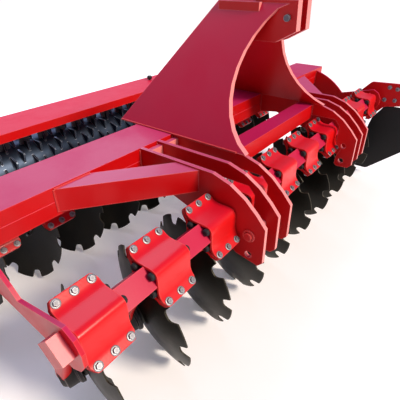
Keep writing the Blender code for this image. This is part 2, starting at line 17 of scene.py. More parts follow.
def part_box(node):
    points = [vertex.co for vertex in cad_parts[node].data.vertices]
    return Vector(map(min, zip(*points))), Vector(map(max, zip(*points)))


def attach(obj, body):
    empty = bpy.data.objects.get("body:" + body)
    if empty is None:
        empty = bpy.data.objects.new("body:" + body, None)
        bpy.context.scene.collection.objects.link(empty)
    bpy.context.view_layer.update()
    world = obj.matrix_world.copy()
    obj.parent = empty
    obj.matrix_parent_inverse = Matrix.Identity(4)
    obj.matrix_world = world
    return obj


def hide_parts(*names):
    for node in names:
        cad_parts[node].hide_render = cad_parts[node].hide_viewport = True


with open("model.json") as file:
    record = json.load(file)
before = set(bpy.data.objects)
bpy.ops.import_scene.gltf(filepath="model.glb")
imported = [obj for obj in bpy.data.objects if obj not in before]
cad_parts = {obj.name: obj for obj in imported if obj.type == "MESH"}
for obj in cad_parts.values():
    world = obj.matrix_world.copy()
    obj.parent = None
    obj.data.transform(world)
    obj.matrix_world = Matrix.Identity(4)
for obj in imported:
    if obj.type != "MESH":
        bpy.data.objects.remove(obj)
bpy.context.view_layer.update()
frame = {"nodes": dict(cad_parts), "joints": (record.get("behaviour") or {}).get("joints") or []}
JOINTS = {j["child"]: j for j in frame["joints"]}

# %% [markdown]
# ## The camera
# It stands past the left end of the front row and looks down along the machine. Its place is
# measured from the front row tube's centre, which the first arm's box gives, so the view stays
# with the machine if the frame changes.

# %% Camera
FLANGE_RISE = 0.08203  # from a row tube's centre to the top of a clamp's flange
front_low, front_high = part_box("front_arm_01")
rear_low, rear_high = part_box("rear_arm_01")
FRONT = Vector((0.0, front_low.y + FLANGE_RISE, front_high.z - FLANGE_RISE))
REAR = Vector((0.0, rear_low.y + FLANGE_RISE, rear_high.z - FLANGE_RISE))
TURN, DROP = math.radians(52.75), math.radians(31.87)
CAMERA_FROM_FRONT = Vector((-1.4747, -0.5709, 0.7234))
forward = Vector((math.sin(TURN) * math.cos(DROP), math.cos(TURN) * math.cos(DROP), -math.sin(DROP)))
right = Vector((math.cos(TURN), -math.sin(TURN), 0.0))
camera = bpy.data.objects.new("camera", bpy.data.cameras.new("camera"))
camera.data.sensor_width = 36.0
camera.data.lens = 32.36
camera.matrix_world = Matrix((right, right.cross(forward), -forward)).transposed().to_4x4()
camera.matrix_world.translation = FRONT + CAMERA_FROM_FRONT
bpy.context.scene.collection.objects.link(camera)
bpy.context.scene.camera = camera
print("row tubes at", [round(v, 4) for v in (FRONT.y, FRONT.z, REAR.y, REAR.z)])

# %% [markdown]
# ## Shapes as arrays
# A shape is three things: its points, its four-cornered faces, and its end caps. Every tool below
# makes a shape or changes one, a whole array at a time.

# %% Tools that make shapes
EASE = 0.0012  # the small bevel on a sheet's cut edge


def grid(points, wrap_rows=False, wrap_columns=True, caps=True):
    """Faces over a grid of points: each joins a point to its neighbours in the row and in the next row."""
    rows, columns = points.shape[:2]
    i = np.arange(rows if wrap_rows else rows - 1)[:, None]
    j = np.arange(columns if wrap_columns else columns - 1)[None, :]
    after, beside = (i + 1) % rows, (j + 1) % columns
    faces = np.stack([i * columns + j, i * columns + beside,
                      after * columns + beside, after * columns + j], -1)
    ends = []
    if caps and not wrap_rows:
        ends = [np.arange(columns)[::-1], np.arange(columns) + (rows - 1) * columns]
    return points.reshape(-1, 3), faces.reshape(-1, 4), ends


def joined(shapes):
    """Several shapes as one."""
    points, faces, caps, start = [], [], [], 0
    for p, f, c in shapes:
        points.append(p)
        faces.append(f + start)
        caps += [k + start for k in c]
        start += len(p)
    return np.concatenate(points), np.concatenate(faces), caps


def place(origin, x_axis, y_axis, z_axis):
    """Where a copy goes, as three axes and a position side by side."""
    return np.column_stack([np.array(v, float) for v in (x_axis, y_axis, z_axis, origin)])


def upright(x, y, z):
    """A place that moves a copy without turning it."""
    return place((x, y, z), (1, 0, 0), (0, 1, 0), (0, 0, 1))


def copies(shape, places):
    """The shape at every place: its points turned onto the three axes and moved to the position."""
    points, faces, caps = shape
    places = np.asarray(places, float)
    many = np.einsum("mij,nj->mni", places[:, :, :3], points) + places[:, None, :, 3]
    starts = np.arange(len(places)) * len(points)
    return many.reshape(-1, 3), (faces[None] + starts[:, None, None]).reshape(-1, 4), [
        cap + start for start in starts for cap in caps]


def lathe(profile, sides=24, turn=0.0):
    """A profile of (height, radius) turned about Z: x = r cos a, y = r sin a."""
    height, radius = np.asarray(profile, float).T
    angle = turn + np.arange(sides) * 2 * math.pi / sides
    x, y = radius[:, None] * np.cos(angle), radius[:, None] * np.sin(angle)
    return grid(np.stack([x, y, np.repeat(height[:, None], sides, 1)], -1))


def rounded(corners, radius, steps=5):
    """Each corner of an outline drawn as a curve that leaves its two sides at the radius."""
    corner = np.asarray(corners, float)
    reach = np.broadcast_to(np.asarray(radius, float), (len(corner),))[:, None]
    back, ahead = np.roll(corner, 1, 0) - corner, np.roll(corner, -1, 0) - corner
    back_length = np.linalg.norm(back, axis=1, keepdims=True)
    ahead_length = np.linalg.norm(ahead, axis=1, keepdims=True)
    start = corner + back / back_length * np.minimum(reach, 0.48 * back_length)
    end = corner + ahead / ahead_length * np.minimum(reach, 0.48 * ahead_length)
    t = np.linspace(0, 1, steps)[None, :, None]
    curve = (1 - t) ** 2 * start[:, None] + 2 * t * (1 - t) * corner[:, None] + t**2 * end[:, None]
    return curve.reshape(-1, 2)


def inset(outline, depth):
    """The outline moved inwards by a depth, along the mean of its two sides' normals."""
    ahead = np.roll(outline, -1, 0) - outline
    ahead /= np.linalg.norm(ahead, axis=1, keepdims=True) + 1e-12
    normal = np.stack([-ahead[:, 1], ahead[:, 0]], 1)
    both = normal + np.roll(normal, 1, 0)
    both /= np.linalg.norm(both, axis=1, keepdims=True) + 1e-12
    x, y = outline.T
    area = (x * np.roll(y, -1) - np.roll(x, -1) * y).sum()
    return outline + both * depth * np.sign(area)


def plate(outline, low, high, edge=EASE):
    """An outline given thickness along Z, its edges eased by a small bevel."""
    inner = inset(outline, edge)
    levels = ((inner, low), (outline, low + edge), (outline, high - edge), (inner, high))
    return grid(np.stack([np.column_stack([o, np.full(len(o), z)]) for o, z in levels]))


def sweep(path, wide, deep, side, steps=16):
    """A rounded section carried along a path: wide along the side vector, deep across it."""
    path = np.asarray(path, float)
    along = np.gradient(path, axis=0)
    along /= np.linalg.norm(along, axis=1, keepdims=True)
    side = np.broadcast_to(np.asarray(side, float), path.shape)
    side = side - along * (side * along).sum(1, keepdims=True)
    side /= np.linalg.norm(side, axis=1, keepdims=True)
    other = np.cross(along, side)
    angle = np.arange(steps) * 2 * math.pi / steps
    power = 0.45  # under 1, the section is a box with round corners
    across = np.sign(np.cos(angle)) * np.abs(np.cos(angle)) ** power
    upward = np.sign(np.sin(angle)) * np.abs(np.sin(angle)) ** power
    wide, deep = np.broadcast_to(wide, len(path)), np.broadcast_to(deep, len(path))
    points = (path[:, None] + side[:, None] * (wide[:, None] / 2 * across)[..., None]
              + other[:, None] * (deep[:, None] / 2 * upward)[..., None])
    return grid(points)


def bead(path, radius=0.0040, pitch=0.006):
    """A weld: a thin tube along a path whose radius swells and shrinks once a pitch."""
    path = np.asarray(path, float)
    step = np.linalg.norm(np.diff(path, axis=0), axis=1)
    run = np.concatenate([[0], np.cumsum(step)])
    count = max(8, int(run[-1] / 0.003))
    at = np.linspace(0, run[-1], count)
    line = np.stack([np.interp(at, run, path[:, k]) for k in range(3)], 1)
    along = np.gradient(line, axis=0)
    along /= np.linalg.norm(along, axis=1, keepdims=True)
    side = np.cross(along, np.array([0.31, 0.52, 0.80]))
    side /= np.linalg.norm(side, axis=1, keepdims=True)
    other = np.cross(along, side)
    size = radius * (1 + 0.18 * np.sin(2 * math.pi * at / pitch))[:, None, None]
    angle = (np.arange(7) * 2 * math.pi / 7)[None, :, None]
    return grid(line[:, None] + size * (np.cos(angle) * side[:, None] + np.sin(angle) * other[:, None]))


def finished(name, shape, finish, body, stands_for=(), bend=32.0):
    """The shape as a piece: faces outward, smooth but for its real edges, riding on a body."""
    points, faces, caps = shape
    sizes = np.array([4] * len(faces) + [len(c) for c in caps], np.int32)
    corners = np.concatenate([faces.reshape(-1), *caps]).astype(np.int32)
    mesh = bpy.data.meshes.new(name)
    mesh.vertices.add(len(points))
    mesh.vertices.foreach_set("co", np.ascontiguousarray(points, np.float32).reshape(-1))
    mesh.loops.add(len(corners))
    mesh.loops.foreach_set("vertex_index", corners)
    mesh.polygons.add(len(sizes))
    mesh.polygons.foreach_set("loop_start", (np.cumsum(sizes) - sizes).astype(np.int32))
    mesh.update(calc_edges=True)
    work = bmesh.new()
    work.from_mesh(mesh)
    bmesh.ops.recalc_face_normals(work, faces=work.faces)
    work.to_mesh(mesh)
    work.free()
    mesh.shade_smooth()
    mesh.set_sharp_from_angle(angle=math.radians(bend))
    mesh.materials.append(finish)
    piece = bpy.data.objects.new(name, mesh)
    bpy.context.scene.collection.objects.link(piece)
    if stands_for:
        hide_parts(*stands_for)
    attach(piece, body)
    return piece


# %% [markdown]
# ## Finishes
# Paint on a field machine is never one flat colour. Two effects are shared by every finish. One
# finds edges, by comparing the true normal with one rounded over a few millimetres, and the finishes
# lighten them: partly for paint worn thin there, partly as a painted highlight where light catches
# the edge. The other is slow, uneven dust with a fine grain. Each is a node group, built once, so
# that a change to it reaches every finish.

# %% Shared effects


def ramp(tree, value, low, high, first=0.0, last=1.0):
    """The value carried from low..high to first..last, and held at both ends."""
    made = tree.nodes.new("ShaderNodeMapRange")
    for label, number in (("From Min", low), ("From Max", high), ("To Min", first), ("To Max", last)):
        made.inputs[label].default_value = number
    tree.links.new(value, made.inputs["Value"])
    return made.outputs[0]


def group(name, inputs, outputs):
    """An empty node group with named sockets, and its two end nodes."""
    made = bpy.data.node_groups.new(name, "ShaderNodeTree")
    for label, kind in inputs:
        made.interface.new_socket(name=label, in_out="INPUT", socket_type=kind)
    for label, kind in outputs:
        made.interface.new_socket(name=label, in_out="OUTPUT", socket_type=kind)
    return made, made.nodes.new("NodeGroupInput"), made.nodes.new("NodeGroupOutput")


# The edge mask: the finishes lighten what it finds, partly as wear and partly as a painted highlight.
edge_group, _, edge_out = group("edge_mask", [], [("Mask", "NodeSocketFloat")])
soft = edge_group.nodes.new("ShaderNodeBevel")
soft.samples = 4
soft.inputs["Radius"].default_value = 0.0045
true = edge_group.nodes.new("ShaderNodeNewGeometry")
facing = edge_group.nodes.new("ShaderNodeVectorMath")
facing.operation = "DOT_PRODUCT"
edge_group.links.new(soft.outputs[0], facing.inputs[0])
edge_group.links.new(true.outputs["Normal"], facing.inputs[1])
edge_group.links.new(ramp(edge_group, facing.outputs["Value"], 0.985, 0.90), edge_out.inputs[0])

dust_group, dust_in, dust_out = group(
    "dust", [("Scale", "NodeSocketFloat")], [("Mask", "NodeSocketFloat"), ("Fine", "NodeSocketFloat")])
where = dust_group.nodes.new("ShaderNodeTexCoord")
slow = dust_group.nodes.new("ShaderNodeTexNoise")
slow.inputs["Detail"].default_value = 5.0
slow.inputs["Roughness"].default_value = 0.6
fine = dust_group.nodes.new("ShaderNodeTexNoise")
fine.inputs["Scale"].default_value = 160.0
fine.inputs["Detail"].default_value = 3.0
dust_group.links.new(where.outputs["Object"], slow.inputs["Vector"])
dust_group.links.new(where.outputs["Object"], fine.inputs["Vector"])
dust_group.links.new(dust_in.outputs["Scale"], slow.inputs["Scale"])
dust_group.links.new(ramp(dust_group, slow.outputs["Fac"], 0.42, 0.75), dust_out.inputs["Mask"])
dust_group.links.new(fine.outputs["Fac"], dust_out.inputs["Fine"])
print("shared effects:", edge_group.name, dust_group.name)

# %% [markdown]
# One function makes every finish: a base colour with dust over it, a lighter edge that is partly
# wear and partly a painted highlight, and a surface that is rougher where the dust lies. Two extras
# are for the red paint. Faces that look up are tinted purple, a painted reflection of the sky, and
# the narrow faces of thick plates are painted paler, a painted highlight for the sun on them.

# %% Finishes, one function for all of them


def mixed(tree, mask, first, second):
    """A colour that goes from the first to the second as the mask goes from 0 to 1."""
    mix = tree.nodes.new("ShaderNodeMix")
    mix.data_type = "RGBA"
    tree.links.new(mask, mix.inputs["Factor"])
    for value, end in ((first, mix.inputs[6]), (second, mix.inputs[7])):
        if isinstance(value, tuple):
            end.default_value = (*value, 1.0)
        else:
            tree.links.new(value, end)
    return mix.outputs[2]


def product(tree, first, second):
    """One value times another, which may be a plain number."""
    times = tree.nodes.new("ShaderNodeMath")
    times.operation = "MULTIPLY"
    tree.links.new(first, times.inputs[0])
    if isinstance(second, float):
        times.inputs[1].default_value = second
    else:
        tree.links.new(second, times.inputs[1])
    return times.outputs[0]


def normal_parts(tree):
    """The surface normal as its X, Y and Z."""
    normal = tree.nodes.new("ShaderNodeNewGeometry")
    parts = tree.nodes.new("ShaderNodeSeparateXYZ")
    tree.links.new(normal.outputs["Normal"], parts.inputs[0])
    return parts.outputs


def painted_light_on_narrow_faces(tree, strength):
    """Plates cut from sheet stand across X, so a face that doesn't look along X is a plate's narrow face,
    and it is painted paler: a painted highlight for the sun on it. Level tops are left nearly out,
    because they carry the painted sky reflection."""
    parts = normal_parts(tree)
    along_x = tree.nodes.new("ShaderNodeMath")
    along_x.operation = "ABSOLUTE"
    tree.links.new(parts["X"], along_x.inputs[0])
    narrow_face_light = ramp(tree, along_x.outputs[0], 0.30, 0.12, 0.0, strength)
    return product(tree, narrow_face_light, ramp(tree, parts["Z"], 0.90, 0.98, 1.0, 0.15))


def finish(name, base, dusty, edge, rough, metal=0.0, coat=0.0, grain=0.0004, amount=0.35, painted_sky_reflection=None,
           edge_wear_and_highlight=0.8, shine=0.28, rim=0.0):
    """A surface: base colour, dust colour, edge colour (worn and painted-lit) and roughness, then metal,
    clear coat, depth of grain, amount of dust, painted sky reflection on upward faces, strength of the
    lighter edge (wear and painted highlight), shine, and painted highlight on the plates' narrow faces."""
    made = bpy.data.materials.new(name)
    made.use_nodes = True
    tree = made.node_tree
    shader = tree.nodes["Principled BSDF"]
    dust = tree.nodes.new("ShaderNodeGroup")
    dust.node_tree = dust_group
    dust.inputs["Scale"].default_value = 4.0
    edges = tree.nodes.new("ShaderNodeGroup")
    edges.node_tree = edge_group
    colour = mixed(tree, product(tree, dust.outputs["Mask"], amount), base, dusty)
    # Faces that look up are mixed towards a purple tint: a painted reflection of the sky.
    if painted_sky_reflection:
        colour = mixed(tree, ramp(tree, normal_parts(tree)["Z"], 0.35, 1.0, 0.0, 0.78), colour, painted_sky_reflection)
    # The plates' narrow faces are mixed towards the edge colour: a painted highlight for the sun on them.
    if rim:
        colour = mixed(tree, painted_light_on_narrow_faces(tree, rim), colour, edge)
    # Edges are mixed towards the edge colour: partly paint worn thin, partly a painted highlight.
    colour = mixed(tree, product(tree, edges.outputs["Mask"], edge_wear_and_highlight), colour, edge)
    tree.links.new(colour, shader.inputs["Base Color"])
    roughness = ramp(tree, dust.outputs["Mask"], 0.0, 1.0, rough, min(1.0, rough + 0.25))
    tree.links.new(roughness, shader.inputs["Roughness"])
    bump = tree.nodes.new("ShaderNodeBump")
    bump.inputs["Strength"].default_value = 0.35
    bump.inputs["Distance"].default_value = grain
    tree.links.new(dust.outputs["Fine"], bump.inputs["Height"])
    tree.links.new(bump.outputs[0], shader.inputs["Normal"])
    shader.inputs["Metallic"].default_value = metal
    shader.inputs["Coat Weight"].default_value = coat
    shader.inputs["Coat Roughness"].default_value = 0.12
    shader.inputs["Specular IOR Level"].default_value = shine
    return made


# The purple sky colour of each red is a painted sky reflection on upward faces; rim is a painted highlight on
# the plates' narrow faces.
RED = finish("red_paint", (0.52, 0.0015, 0.0030), (0.40, 0.002, 0.006), (0.90, 0.10, 0.10), 0.36,
             coat=0.10, painted_sky_reflection=(0.42, 0.012, 0.110), edge_wear_and_highlight=0.45)
PLATE_RED = finish("red_paint_plates", (0.50, 0.0015, 0.0030), (0.40, 0.002, 0.006),
                   (0.95, 0.36, 0.34), 0.34, coat=0.10, painted_sky_reflection=(0.36, 0.010, 0.130), edge_wear_and_highlight=0.35, rim=0.62)
CLAMP_RED = finish("red_paint_clamps", (0.60, 0.002, 0.003), (0.46, 0.003, 0.006),
                   (0.90, 0.12, 0.10), 0.30, coat=0.15, painted_sky_reflection=(0.56, 0.004, 0.020), edge_wear_and_highlight=0.45)
ROLLER_RED = finish("red_paint_scrapers", (0.58, 0.002, 0.003), (0.42, 0.004, 0.008),
                    (0.90, 0.14, 0.12), 0.36, coat=0.10, painted_sky_reflection=(0.60, 0.015, 0.060), edge_wear_and_highlight=0.45)
WELD = finish("painted_weld", (0.52, 0.012, 0.014), (0.35, 0.010, 0.014), (0.85, 0.16, 0.14), 0.40,
              coat=0.2)
ZINC = finish("zinc_bolts", (0.15, 0.15, 0.17), (0.08, 0.08, 0.09), (0.42, 0.43, 0.46), 0.42, metal=0.80)
RUBBER = finish("black_rubber", (0.010, 0.009, 0.012), (0.030, 0.026, 0.026), (0.05, 0.045, 0.045), 0.62)
DISC = finish("disc_steel", (0.007, 0.006, 0.004), (0.026, 0.023, 0.014), (0.12, 0.11, 0.08), 0.36,
              metal=0.25, amount=0.7, edge_wear_and_highlight=0.5, shine=0.22)
DRUM = finish("roller_steel", (0.028, 0.046, 0.082), (0.055, 0.076, 0.112), (0.46, 0.53, 0.66), 0.28,
              metal=0.60, amount=0.6)
BLACK = finish("black_paint", (0.008, 0.008, 0.008), (0.022, 0.021, 0.020), (0.05, 0.05, 0.05), 0.55,
               amount=0.6)
CAST = finish("cast_hub", (0.020, 0.018, 0.018), (0.055, 0.045, 0.040), (0.20, 0.17, 0.16), 0.48,
              metal=0.4)
print("finishes:", len(bpy.data.materials))

# %% [markdown]
# ## The parts that stay
# Plates, tubes, tower and roller frame keep their own solids and only change their paint.

# %% Paint the frame's own parts
KEPT = {"main_beam": RED, "front_row_tube": RED, "rear_row_tube": RED, "hitch_cross_tube": RED,
        "left_hitch": PLATE_RED, "right_hitch": PLATE_RED, "tower": PLATE_RED,
        "roller_frame": ROLLER_RED}
for node, paint in KEPT.items():
    frame["nodes"][node].data.materials.clear()
    frame["nodes"][node].data.materials.append(paint)
print("kept nodes:", len(KEPT))

# %% [markdown]
# ## Clamps
# A clamp is two bent plates bolted together round the row tube, corner to corner. Four rubber cords
# lie between them and the tube, and let the arm spring up over a stone. Both plates are one outline
# drawn along the tube; the lower one is the upper one turned half round.

# %% One clamp about the tube's centre: X along the tube
HALF, WALL, TIP, SEAM = 0.0525, 0.009, 0.0735, 0.0012
FLANGE = 0.0170  # a flange pair's thickness, over the square root of two
CLAMP_REACH = 0.070  # from the clamp's middle to its end, along the tube
CUT_ROUND = 0.020  # how far a flange's corners are cut round
step = FLANGE / 2
root = HALF - 2 * step
inner = HALF - WALL
half_shell = np.array([
    (TIP - step, TIP + step), (root, HALF), (-HALF, HALF), (-HALF, -root), (-TIP - step, -TIP + step),
    (-TIP - SEAM, -TIP + SEAM), (-inner - SEAM, -inner + SEAM), (-inner, inner), (inner - SEAM, inner + SEAM),
    (TIP - SEAM, TIP + SEAM)])
half_shell = rounded(half_shell, [0.003, 0.022, 0.030, 0.022, 0.003, 0.002, 0.014, 0.021, 0.014, 0.002], 7)


def clamp_half(outline):
    """The bent plate along X, its flanges' ends cut round: x shrinks near a flange's tip."""
    distance = np.abs(outline.sum(1)) / math.sqrt(2)
    near = np.clip(1 - (distance.max() - distance) / CUT_ROUND, 0, 1)
    reach = CLAMP_REACH - CUT_ROUND * (1 - np.sqrt(1 - near**2 * 0.96))
    small = inset(outline, EASE)
    loops = [(small, -reach), (outline, -reach + EASE), (outline, reach - EASE), (small, reach)]
    return grid(np.stack([np.column_stack([x, loop]) for loop, x in loops]))


upper = clamp_half(half_shell)
lower = copies(upper, [place((0, 0, 0), (1, 0, 0), (0, -1, 0), (0, 0, -1))])
clamp = joined([upper, lower])

CORD = 0.0122  # a cord's radius
CORD_AT = 0.0325  # from the tube's centre to a cord's, both level and upright
cord_end = [(0.073, CORD), (0.078, 0.0118), (0.0815, 0.009), (0.0825, 0.004)]
one_cord = lathe([(-x, radius) for x, radius in reversed(cord_end)] + cord_end, 18)
cord_places = [place((0, a * CORD_AT, b * CORD_AT), (0, 1, 0), (0, 0, 1), (1, 0, 0))
               for a in (-1, 1) for b in (-1, 1)]
cords = copies(one_cord, cord_places)
print("clamp:", len(clamp[0]), "points; cords:", len(cords[0]))

# %% [markdown]
# ## Bolts
# A bolt is a washer, a six-sided head with its corners eased, and on the far side a second washer,
# a nut and the thread's end. Its own Z runs from the nut to the head; zero is the face under the
# first washer. One shape, turned on a lathe of few sides, serves every bolt of a clamp.

# %% Bolts
BOLT = 0.0082  # a flange bolt's size; its pieces are shares of it
BOLT_PITCH = 0.052
FLANGE_GRIP = FLANGE * math.sqrt(2)


def bolt(size, grip):
    """Five lathed pieces: washer and head above zero; washer, nut and thread's end under the grip."""
    seat, flat = size * 0.26, size * 1.10
    washer = lathe([(0.0, size * 1.55), (size * 0.20, size * 1.55), (seat, size * 1.45), (seat, size)], 20)
    head = lathe([(seat, size), (size * 0.30, flat), (size * 0.85, flat), (size, size * 0.90)], 6, 0.2)
    tail = -grip
    nut_seat = tail - size * 0.22
    back = lathe([(nut_seat, size * 0.9), (nut_seat, size * 1.5), (tail, size * 1.5)], 20)
    nut = lathe([(tail - size * 1.2, size * 0.9), (tail - size * 1.05, flat), (nut_seat, flat)], 6)
    end = lathe([(tail - size * 1.7, size * 0.45), (tail - size * 1.6, size * 0.6),
                 (tail - size, size * 0.6)], 12)
    return joined([washer, head, back, nut, end])


slant = math.sqrt(0.5)
proud = step * 1.02  # a hair off the flange, so that no two faces share a plane
bolt_places = []
for end in (-1, 1):
    centre = 0.5 * (TIP + HALF) * end
    for x in (-BOLT_PITCH, 0.0, BOLT_PITCH):
        bolt_places.append(place((x, centre - proud, centre + proud), (1, 0, 0),
                                 (0, slant, slant), (0, -slant, slant)))
clamp_bolts = copies(bolt(BOLT, FLANGE_GRIP), bolt_places)
print("bolts on a clamp:", len(bolt_places))

# %% [markdown]
# ## Trailing arms, hubs and discs
# Each row has its own handing: side is -1 for the front row and +1 for the rear row. A disc's joint
# gives its centre and its axis, which comes out of the hollow face. The arms stand still with the
# frame, so a row's clamps, cords, bolts, arms and hubs are each one piece.

# %% Rows
ROWS = (("front", -1, FRONT), ("rear", 1, REAR))
NUMBERS = range(1, 1 + sum(node.startswith("front_arm_") for node in frame["nodes"]))
HUB_TOP = -0.0125  # where the hub meets the disc's boss, along the disc's axis
ARM_OFFSET, ARM_WIDTH = 0.045, 0.034  # from the clamp's middle to the arm's, and across the arm
ARM_DEPTH, ARM_THINS = 0.072, 0.022  # its depth at the clamp, and what it loses on the way down
ARM_START = (0.018, -0.040)  # from the row tube's centre, inside the clamp
ARM_STOP = 0.040  # behind the disc's centre, inside the hub


def axes_of(axis):
    """Two directions square to an axis, and the axis."""
    level = np.cross((0.0, 0.0, 1.0), axis)
    level /= np.linalg.norm(level)
    return level, np.cross(axis, level), np.asarray(axis)


def arm_shape(side, hub, axis):
    """The forged arm from under the clamp to the hub: a curve that bulges backwards."""
    x = side * ARM_OFFSET
    end = hub - axis * ARM_STOP
    t = np.linspace(0, 1, 15)[:, None]
    start, stop = np.array([x, *ARM_START]), np.array([x, end[1], end[2]])
    bow = np.array([x, 0.35 * start[1] + 0.65 * stop[1] + 0.035,
                    0.52 * start[2] + 0.48 * stop[2] - 0.010])
    path = (1 - t) ** 2 * start + 2 * t * (1 - t) * bow + t**2 * stop
    deep = ARM_DEPTH - ARM_THINS * t[:, 0]
    return sweep(path, ARM_WIDTH, deep, (1, 0, 0), 20)


hub_profile = [(-0.078, 0.016), (-0.078, 0.030), (-0.073, 0.036), (-0.066, 0.040), (-0.064, 0.047),
               (-0.030, 0.048), (-0.026, 0.054), (HUB_TOP - 0.003, 0.056), (HUB_TOP, 0.053),
               (HUB_TOP, 0.020)]
hub_shape = lathe(hub_profile, 32)
for row, side, centre in ROWS:
    arms, hubs, clamps_at = [], [], []
    nodes = [f"{row}_arm_{number:02d}" for number in NUMBERS]
    for number in NUMBERS:
        low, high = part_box(f"{row}_arm_{number:02d}")
        joint = JOINTS[f"{row}_disc_{number:02d}_body"]
        middle = np.array([(low.x + high.x) / 2, centre.y, centre.z])
        axis = np.array(joint["axis"])
        hub = np.array(joint["pos_m"]) - middle
        arms.append(copies(arm_shape(side, hub, axis), [upright(*middle)]))
        hubs.append(copies(hub_shape, [place(joint["pos_m"], *axes_of(axis))]))
        clamps_at.append(upright(*middle))
    finished(f"{row}_clamps", copies(clamp, clamps_at), CLAMP_RED, "frame", nodes)
    finished(f"{row}_rubber_cords", copies(cords, clamps_at), RUBBER, "frame")
    finished(f"{row}_clamp_bolts", copies(clamp_bolts, clamps_at), ZINC, "frame")
    finished(f"{row}_trailing_arms", joined(arms), RED, "frame")
    finished(f"{row}_hubs", joined(hubs), CAST, "frame")
    print(row, "row:", len(nodes), "clamps, arms and hubs")

# %% [markdown]
# A disc is a shallow dish pressed from plate, with notches round the rim that cut straw and stubble.
# Its grid runs out from the middle and back along the other face, so both faces and the rim are one
# closed shell. The rim is ground thinner on the back. The notches pull in the outer rings only.

# %% Discs
DISC_R, DISH, THICK, NOTCH, NOTCHES = 0.2508, 0.050, 0.0056, 0.034, 10
GROUND_FROM, GROUND_OVER = 0.232, 0.022  # the radius where the grinding starts, and its width
BOLT_CIRCLE, DISC_BOLTS = 0.037, 5


def rim_of():
    """Angle and radius along the rim: each tenth is a tooth, then a notch with a round bottom."""
    pitch = 2 * math.pi / NOTCHES
    tooth = np.linspace(-0.30, 0.30, 9)
    notch = np.array([0.315, 0.335, 0.36, 0.40, 0.45, 0.50, 0.55, 0.60, 0.64, 0.665, 0.685])
    depth = np.array([0.10, 0.55, 0.82, 0.95, 1.0, 1.0, 1.0, 0.95, 0.82, 0.55, 0.10])
    share = np.concatenate([tooth, notch])
    sink = np.concatenate([np.zeros(9), depth])
    angle = (np.arange(NOTCHES)[:, None] + share[None, :]) * pitch + math.pi / 2
    radius = np.broadcast_to(DISC_R - NOTCH * sink, angle.shape)
    return angle.reshape(-1), radius.reshape(-1)


def disc_shape():
    """z = dish (r / R) squared on both faces, ground to a thinner edge on the back."""
    angle, rim = rim_of()
    share = np.array([0.12, 0.24, 0.36, 0.48, 0.60, 0.70, 0.80, 0.88, 0.94, 0.98, 1.0])[:, None]
    radius = share * rim[None, :]
    radius[:5] = share[:5] * DISC_R
    rise = DISH * (radius / DISC_R) ** 2
    thin = THICK * (0.5 - 0.30 * np.clip((radius - GROUND_FROM) / GROUND_OVER, 0, 1))
    rows = np.concatenate([radius, radius[::-1]])
    heights = np.concatenate([rise + THICK / 2, (rise - thin)[::-1]])
    return grid(np.stack([rows * np.cos(angle), rows * np.sin(angle), heights], -1))


disc = disc_shape()
boss = lathe([(-0.0120, 0.012), (-0.0120, 0.040), (-0.0090, 0.0415), (0.0, 0.0415)], 28)
cap = lathe([(0.001, 0.046), (0.0060, 0.046), (0.0075, 0.044), (0.0078, 0.030), (0.0150, 0.028),
             (0.0170, 0.024), (0.0175, 0.008)], 28)
around = np.arange(DISC_BOLTS) * 2 * math.pi / DISC_BOLTS
ring_places = [upright(BOLT_CIRCLE * math.cos(a), BOLT_CIRCLE * math.sin(a), 0.0070) for a in around]
small_head = lathe([(0.0, 0.0075), (0.0055, 0.0075), (0.0065, 0.0060)], 6)
disc_bolts = copies(small_head, ring_places)
whole_disc = joined([disc, boss, cap])
for row, _, _ in ROWS:
    for number in NUMBERS:
        body = f"{row}_disc_{number:02d}_body"
        joint = JOINTS[body]
        at = [place(joint["pos_m"], *axes_of(np.array(joint["axis"])))]
        finished(f"{row}_notched_disc_{number:02d}", copies(whole_disc, at), DISC, body,
                 [f"{row}_disc_{number:02d}"])
        finished(f"{row}_disc_bolts_{number:02d}", copies(disc_bolts, at), ZINC, body)
print("discs:", len(ROWS) * len(NUMBERS), "of", len(disc[0]), "points")

# %% [markdown]
# ## The packer roller
# A plain tube with rings of separate pointed teeth, which press the soil down behind the discs. Each
# ring is turned half a tooth from the last, and every second pair of rings a little further, so the
# teeth don't stand in rows. A tooth is a small plate of few faces, because there are hundreds.

# %% Roller
spin = JOINTS["packer_roller"]["pos_m"]
CORE, TEETH, RING_PITCH, RING_COUNT = 0.198, 11, 0.0625, 39
STUB, STUB_OUT, EDGE = 0.029, 0.016, 0.004  # the end stubs' radius and length, and the tube's bevel
FLOOR_GAP = 0.0004  # between the lowest teeth and the floor
drum_half = 1.249
drum = lathe([(-drum_half, STUB), (-drum_half + STUB_OUT, STUB), (-drum_half + STUB_OUT, CORE - EDGE),
              (-drum_half + 0.020, CORE), (drum_half - 0.020, CORE), (drum_half - STUB_OUT, CORE - EDGE),
              (drum_half - STUB_OUT, STUB), (drum_half, STUB)], 72)
drum = copies(drum, [place((0, spin[1], spin[2]), (0, 1, 0), (0, 0, 1), (1, 0, 0))])
rise = spin[2] - FLOOR_GAP - CORE
tooth_outline = np.array([(-0.046, -0.010), (0.040, -0.010), (0.040, 0.004), (0.009, rise),
                          (0.001, rise), (-0.046, 0.004)])
tooth = plate(tooth_outline, -0.0055, 0.0055, 0.0010)
tooth_places = []
for ring in range(RING_COUNT):
    middle = np.array([(ring - (RING_COUNT - 1) / 2) * RING_PITCH, spin[1], spin[2]])
    for k in range(TEETH):
        a = 2 * math.pi * (k + 0.5 * (ring % 2)) / TEETH + 0.14 * (ring % 4 > 1)
        out = np.array([0.0, math.cos(a), math.sin(a)])
        onward = np.array([0.0, -math.sin(a), math.cos(a)])
        tooth_places.append(place(middle + out * CORE, onward, out, np.cross(onward, out)))
teeth = copies(tooth, tooth_places)
finished("packer_drum", joined([drum, teeth]), DRUM, "packer_roller", ["roller_drum"])
print("roller teeth:", len(tooth_places))

# %% [markdown]
# Steel tips scrape the tube clean. They are bolted to the red holders, which belong to the roller
# frame's own solid. On the real machine they reach in between the rings; here one stands at every
# second ring, so a tooth that turns past goes through it. A closed bearing sits at each end.

